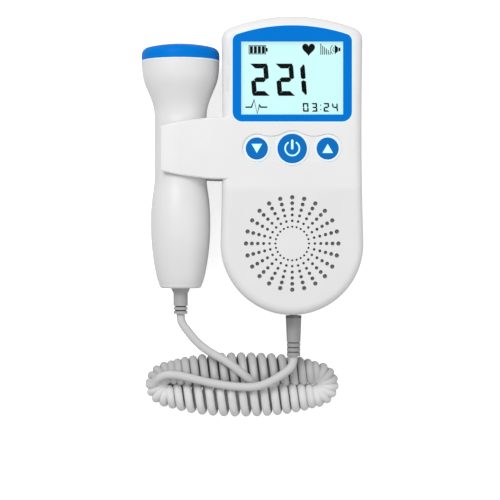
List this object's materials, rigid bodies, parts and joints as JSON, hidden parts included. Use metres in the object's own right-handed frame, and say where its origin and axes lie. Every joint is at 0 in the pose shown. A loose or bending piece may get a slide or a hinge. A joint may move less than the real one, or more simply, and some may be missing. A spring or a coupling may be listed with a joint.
{
  "type": "fetal doppler monitor",
  "caption": "Handheld fetal heart monitor: flat case with screen, buttons and speaker, waisted probe held in a side clip, and a curly cord between probe and plug.",
  "frame": {"origin": "middle of the footprint of case and probe, on the surface that the monitor lies on", "axes": "+Z out of the front of the case, +Y towards the top of the case and the probe's head, +X from the probe to the case"},
  "size_m": [0.102, 0.185, 0.0363],
  "materials": {
    "white_plastic": "satin moulded",
    "blue_plastic": "satin moulded",
    "clear_lens": "clear",
    "display": "smooth",
    "white_film": "matt",
    "circuit_board": "lacquered",
    "black_plastic": "matt",
    "steel": "bright",
    "magnet": "dark",
    "speaker_fabric": "woven",
    "speaker_paper": "matt paper",
    "cell_jacket": "plain",
    "ceramic": "matt",
    "backing": "matt",
    "grey_rubber": "matt",
    "cord_jacket": "satin"
  },
  "bodies": {
    "case": {"front_casing": "white_plastic", "rear_casing": "white_plastic", "screen_bezel": "blue_plastic", "screen_lens": "clear_lens", "lcd_panel": "display", "lcd_backlight": "white_film", "main_board": "circuit_board", "board_chips": "black_plastic", "case_screws": "steel", "board_screws": "steel", "switch_bodies": "black_plastic", "speaker_cloth": "speaker_fabric", "speaker_frame": "steel", "speaker_cone": "speaker_paper", "speaker_magnet": "magnet", "battery_cell_left": "cell_jacket", "battery_cell_right": "cell_jacket", "battery_contacts": "steel", "probe_socket": "black_plastic", "plug_pin": "steel", "plug_boot": "grey_rubber", "cord_probe_lead": "cord_jacket", "cord_plug_lead": "cord_jacket", "cord_coil": "cord_jacket"},
    "battery_door": {"battery_door": "white_plastic"},
    "probe": {"probe_front_shell": "white_plastic", "probe_rear_shell": "white_plastic", "probe_cap": "blue_plastic", "transducer_crystals": "ceramic", "crystal_backing": "backing", "probe_board": "circuit_board", "probe_strain_relief": "grey_rubber", "cord_clamp": "black_plastic"},
    "volume_down_button": {"volume_down_button": "blue_plastic", "volume_down_plunger": "black_plastic"},
    "power_button": {"power_button": "blue_plastic", "power_plunger": "black_plastic"},
    "volume_up_button": {"volume_up_button": "blue_plastic", "volume_up_plunger": "black_plastic"}
  },
  "joints": [
    {"name": "volume_down_press", "type": "slide", "parent": "case", "child": "volume_down_button", "axis": [0, 0, -1], "range_m": [0, 0.0006], "stiffness_N_per_m": 1500, "springref_m": -0.0001},
    {"name": "power_press", "type": "slide", "parent": "case", "child": "power_button", "axis": [0, 0, -1], "range_m": [0, 0.0006], "stiffness_N_per_m": 1500, "springref_m": -0.0001},
    {"name": "volume_up_press", "type": "slide", "parent": "case", "child": "volume_up_button", "axis": [0, 0, -1], "range_m": [0, 0.0006], "stiffness_N_per_m": 1500, "springref_m": -0.0001},
    {"name": "battery_door_swing", "type": "hinge", "parent": "case", "child": "battery_door", "pos_m": [0.01833, 0.0452, 0.001], "axis": [1, 0, 0], "range_deg": [0, 75]},
    {"name": "probe_pull", "type": "slide", "parent": "case", "child": "probe", "axis": [-1, 0, 0], "range_m": [0, 0.024]}
  ]
}
